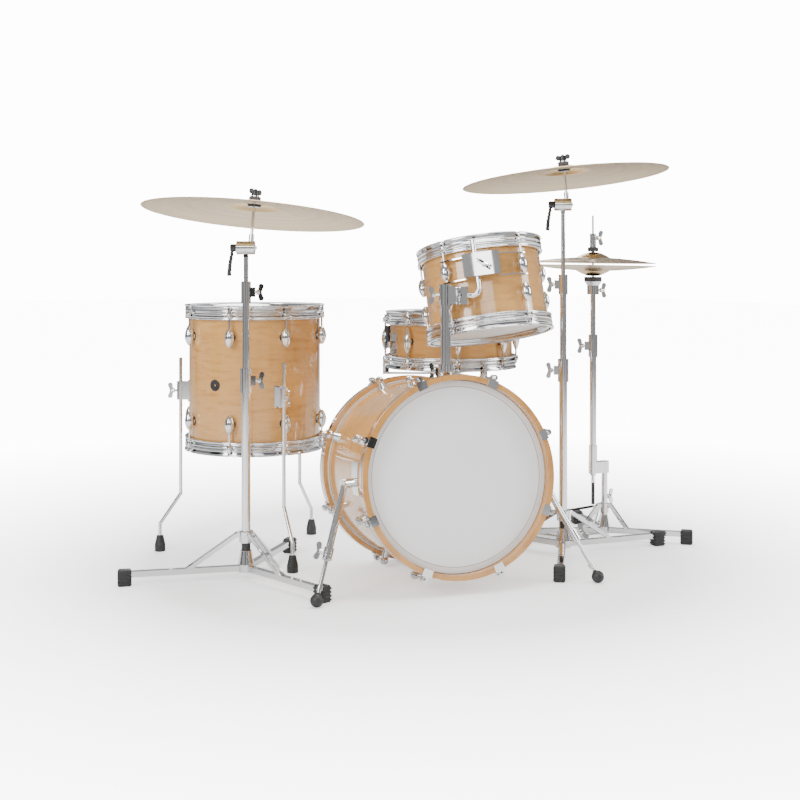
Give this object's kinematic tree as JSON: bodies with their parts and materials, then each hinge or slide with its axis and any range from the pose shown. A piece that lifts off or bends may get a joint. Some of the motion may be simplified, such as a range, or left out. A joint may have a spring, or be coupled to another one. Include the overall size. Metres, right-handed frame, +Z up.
{
  "type": "acoustic drum kit",
  "caption": "Acoustic drum kit in pale maple: bass drum with raised tom, floor tom, snare on a stand, ride and crash cymbals on boom-less stands and a hi-hat with pedal",
  "frame": {"origin": "on the floor under the middle of the kit's overall box", "axes": "+Z up; +X to the right of someone facing the bass drum's front head; -Y towards that person, so the player sits on the +Y side"},
  "size_m": [1.5892, 0.8623, 1.0867],
  "materials": {
    "maple": "glossy lacquer over pale maple",
    "hoop_maple": "glossy lacquer, slightly darker than the shells",
    "chrome": "polished chrome plate",
    "head_film": "satin white film",
    "bronze": "lathed and hammered bronze",
    "rubber": "matt black rubber"
  },
  "bodies": {
    "kit": {"bass_shell": "maple", "bass_hoops": "hoop_maple", "bass_heads": "head_film", "bass_lugs": "chrome", "bass_claws": "chrome", "bass_brackets": "chrome", "floor_tom_shell": "maple", "floor_tom_hoops": "chrome", "floor_tom_heads": "head_film", "floor_tom_lugs": "chrome", "leg_brackets": "chrome", "ride_stand_base": "chrome", "crash_stand_base": "chrome", "hihat_stand_base": "chrome", "snare_stand_base": "chrome", "rubber_feet": "rubber"},
    "left_spur": {"left_spur_tube": "chrome"},
    "left_spur_foot": {"left_spur_rod": "chrome"},
    "right_spur": {"right_spur_tube": "chrome"},
    "right_spur_foot": {"right_spur_rod": "chrome"},
    "tom_post": {"tom_post": "chrome"},
    "tom_clamp": {"tom_clamp": "chrome"},
    "tom_arm": {"tom_arm": "chrome"},
    "rack_tom": {"tom_suspension": "chrome", "tom_shell": "maple", "tom_hoops": "chrome", "tom_heads": "head_film", "tom_lugs": "chrome"},
    "floor_leg_1": {"floor_leg_1": "chrome"},
    "floor_leg_2": {"floor_leg_2": "chrome"},
    "floor_leg_3": {"floor_leg_3": "chrome"},
    "snare_collar": {"snare_collar": "chrome"},
    "snare_leg_1": {"snare_leg_1": "chrome"},
    "snare_leg_2": {"snare_leg_2": "chrome"},
    "snare_leg_3": {"snare_leg_3": "chrome"},
    "snare_brace_1": {"snare_brace_1": "chrome"},
    "snare_brace_2": {"snare_brace_2": "chrome"},
    "snare_brace_3": {"snare_brace_3": "chrome"},
    "snare_post": {"snare_post": "chrome"},
    "snare_drum": {"snare_basket": "chrome", "snare_shell": "maple", "snare_hoops": "chrome", "snare_heads": "head_film", "snare_lugs": "chrome", "snare_wires": "chrome", "snare_strainer": "chrome"},
    "snare_lever": {"snare_lever": "chrome"},
    "ride_mid": {"ride_mid_tube": "chrome"},
    "ride_top": {"ride_top_tube": "chrome"},
    "ride_tilter": {"ride_tilter": "chrome"},
    "ride_cymbal": {"ride_cymbal": "bronze"},
    "crash_mid": {"crash_mid_tube": "chrome"},
    "crash_top": {"crash_top_tube": "chrome"},
    "crash_tilter": {"crash_tilter": "chrome"},
    "crash_cymbal": {"crash_cymbal": "bronze"},
    "hihat_upper": {"hihat_upper_tube": "chrome"},
    "hihat_bottom": {"hihat_bottom_cymbal": "bronze"},
    "hihat_rod": {"hihat_pull_rod": "chrome"},
    "hihat_top": {"hihat_top_cymbal": "bronze"},
    "hihat_pedal": {"hihat_footboard": "chrome"}
  },
  "joints": [
    {"name": "left_spur_swing", "type": "hinge", "parent": "kit", "child": "left_spur", "pos_m": [-0.27464, -0.28361, 0.25675], "axis": [-0.9511, -0.309, 0], "range_deg": [0, 60]},
    {"name": "left_spur_length", "type": "slide", "parent": "left_spur", "child": "left_spur_foot", "axis": [-0.3499, -0.4391, -0.8275], "range_m": [-0.015, 0.08]},
    {"name": "right_spur_swing", "type": "hinge", "parent": "kit", "child": "right_spur", "pos_m": [0.23536, -0.28361, 0.25675], "axis": [-0.9511, 0.309, 0], "range_deg": [0, 60]},
    {"name": "right_spur_length", "type": "slide", "parent": "right_spur", "child": "right_spur_foot", "axis": [0.3499, -0.4391, -0.8275], "range_m": [-0.015, 0.08]},
    {"name": "tom_height", "type": "slide", "parent": "kit", "child": "tom_post", "axis": [0, 0, 1], "range_m": [-0.04, 0.06]},
    {"name": "tom_swing", "type": "hinge", "parent": "tom_post", "child": "tom_clamp", "pos_m": [-0.01964, -0.29461, 0.71035], "axis": [0, 0, 1], "range_deg": [-25, 0]},
    {"name": "tom_tilt", "type": "hinge", "parent": "tom_clamp", "child": "tom_arm", "pos_m": [-0.01964, -0.29461, 0.71035], "axis": [-0.829, 0.5592, 0], "range_deg": [-8, 4]},
    {"name": "tom_slide", "type": "slide", "parent": "tom_arm", "child": "rack_tom", "axis": [-0.0571, 0.2176, 0.9744], "range_m": [-0.012, 0.02]},
    {"name": "floor_leg_1_height", "type": "slide", "parent": "kit", "child": "floor_leg_1", "axis": [0, 0, 1], "range_m": [-0.1, 0.1]},
    {"name": "floor_leg_2_height", "type": "slide", "parent": "kit", "child": "floor_leg_2", "axis": [0, 0, 1], "range_m": [-0.1, 0.1]},
    {"name": "floor_leg_3_height", "type": "slide", "parent": "kit", "child": "floor_leg_3", "axis": [0, 0, 1], "range_m": [-0.1, 0.1]},
    {"name": "snare_fold", "type": "slide", "parent": "kit", "child": "snare_collar", "axis": [0, 0, 1], "range_m": [0, 0.14087]},
    {"name": "snare_leg_1_fold", "type": "hinge", "parent": "kit", "child": "snare_leg_1", "pos_m": [0.2089, 0.2107, 0.028], "axis": [-0.342, -0.9397, 0], "range_deg": [0, 75]},
    {"name": "snare_leg_2_fold", "type": "hinge", "parent": "kit", "child": "snare_leg_2", "pos_m": [0.17995, 0.24519, 0.028], "axis": [0.9848, 0.1736, 0], "range_deg": [0, 75]},
    {"name": "snare_leg_3_fold", "type": "hinge", "parent": "kit", "child": "snare_leg_3", "pos_m": [0.16455, 0.20288, 0.028], "axis": [-0.6428, 0.766, 0], "range_deg": [0, 75]},
    {"name": "snare_brace_1_fold", "type": "hinge", "parent": "snare_collar", "child": "snare_brace_1", "pos_m": [0.20702, 0.21138, 0.105], "axis": [0.342, 0.9397, 0], "range_deg": [0, 39.88]},
    {"name": "snare_brace_2_fold", "type": "hinge", "parent": "snare_collar", "child": "snare_brace_2", "pos_m": [0.1803, 0.24322, 0.105], "axis": [-0.9848, -0.1736, 0], "range_deg": [0, 39.88]},
    {"name": "snare_brace_3_fold", "type": "hinge", "parent": "snare_collar", "child": "snare_brace_3", "pos_m": [0.16608, 0.20416, 0.105], "axis": [0.6428, -0.766, 0], "range_deg": [0, 39.88]},
    {"name": "snare_height", "type": "slide", "parent": "kit", "child": "snare_post", "axis": [0, 0, 1], "range_m": [-0.05, 0.06]},
    {"name": "snare_tilt", "type": "hinge", "parent": "snare_post", "child": "snare_drum", "pos_m": [0.18446, 0.21959, 0.447], "axis": [0, 1, 0], "range_deg": [-12, 12]},
    {"name": "snare_throw_off", "type": "hinge", "parent": "snare_drum", "child": "snare_lever", "pos_m": [-0.01542, 0.19185, 0.5585], "axis": [0.1374, -0.9905, 0], "range_deg": [0, 80]},
    {"name": "ride_height_low", "type": "slide", "parent": "kit", "child": "ride_mid", "axis": [0, 0, 1], "range_m": [-0.03, 0.12]},
    {"name": "ride_height_top", "type": "slide", "parent": "ride_mid", "child": "ride_top", "axis": [0, 0, 1], "range_m": [-0.03, 0.15]},
    {"name": "ride_tilt", "type": "hinge", "parent": "ride_top", "child": "ride_tilter", "pos_m": [-0.48044, -0.10151, 0.828], "axis": [0.9511, -0.309, 0], "range_deg": [-25, 25]},
    {"name": "ride_spin", "type": "hinge", "parent": "ride_tilter", "child": "ride_cymbal", "pos_m": [-0.4695, -0.10506, 0.828], "axis": [0.102, 0.069, 0.9924], "continuous": true},
    {"name": "crash_height_low", "type": "slide", "parent": "kit", "child": "crash_mid", "axis": [0, 0, 1], "range_m": [-0.04, 0.12]},
    {"name": "crash_height_top", "type": "slide", "parent": "crash_mid", "child": "crash_top", "axis": [0, 0, 1], "range_m": [-0.02, 0.12]},
    {"name": "crash_tilt", "type": "hinge", "parent": "crash_top", "child": "crash_tilter", "pos_m": [0.38996, -0.10351, 0.949], "axis": [-0.9511, 0.309, 0], "range_deg": [-10, 25]},
    {"name": "crash_spin", "type": "hinge", "parent": "crash_tilter", "child": "crash_cymbal", "pos_m": [0.4009, -0.10706, 0.949], "axis": [-0.0665, 0.083, 0.9943], "continuous": true},
    {"name": "hihat_height", "type": "slide", "parent": "kit", "child": "hihat_upper", "axis": [0, 0, 1], "range_m": [-0.1, 0]},
    {"name": "hihat_bottom_spin", "type": "hinge", "parent": "hihat_upper", "child": "hihat_bottom", "pos_m": [0.54226, 0.02049, 0.783], "axis": [0.0174, 0, 0.9998], "continuous": true},
    {"name": "hihat_pedal", "type": "hinge", "parent": "kit", "child": "hihat_pedal", "pos_m": [0.37063, 0.25672, 0.02], "axis": [0.809, 0.5878, 0], "range_deg": [0, 1.08], "stiffness_Nm_per_rad": 40, "springref_deg": -17.19},
    {"name": "hihat_pull", "type": "slide", "parent": "kit", "child": "hihat_rod", "axis": [0, 0, 1], "range_m": [-0.0055, 0]},
    {"name": "hihat_top_spin", "type": "hinge", "parent": "hihat_rod", "child": "hihat_top", "pos_m": [0.54226, 0.02049, 0.792], "axis": [0.0174, 0, 0.9998], "continuous": true}
  ],
  "couplings": [
    {"joint": "snare_leg_1_fold", "follows": "snare_fold", "rad_per_m": 9.2914},
    {"joint": "snare_brace_1_fold", "follows": "snare_fold", "rad_per_m": 4.9408},
    {"joint": "snare_leg_2_fold", "follows": "snare_fold", "rad_per_m": 9.2914},
    {"joint": "snare_brace_2_fold", "follows": "snare_fold", "rad_per_m": 4.9408},
    {"joint": "snare_leg_3_fold", "follows": "snare_fold", "rad_per_m": 9.2914},
    {"joint": "snare_brace_3_fold", "follows": "snare_fold", "rad_per_m": 4.9408},
    {"joint": "hihat_pull", "follows": "hihat_pedal", "m_per_rad": -0.29185}
  ]
}
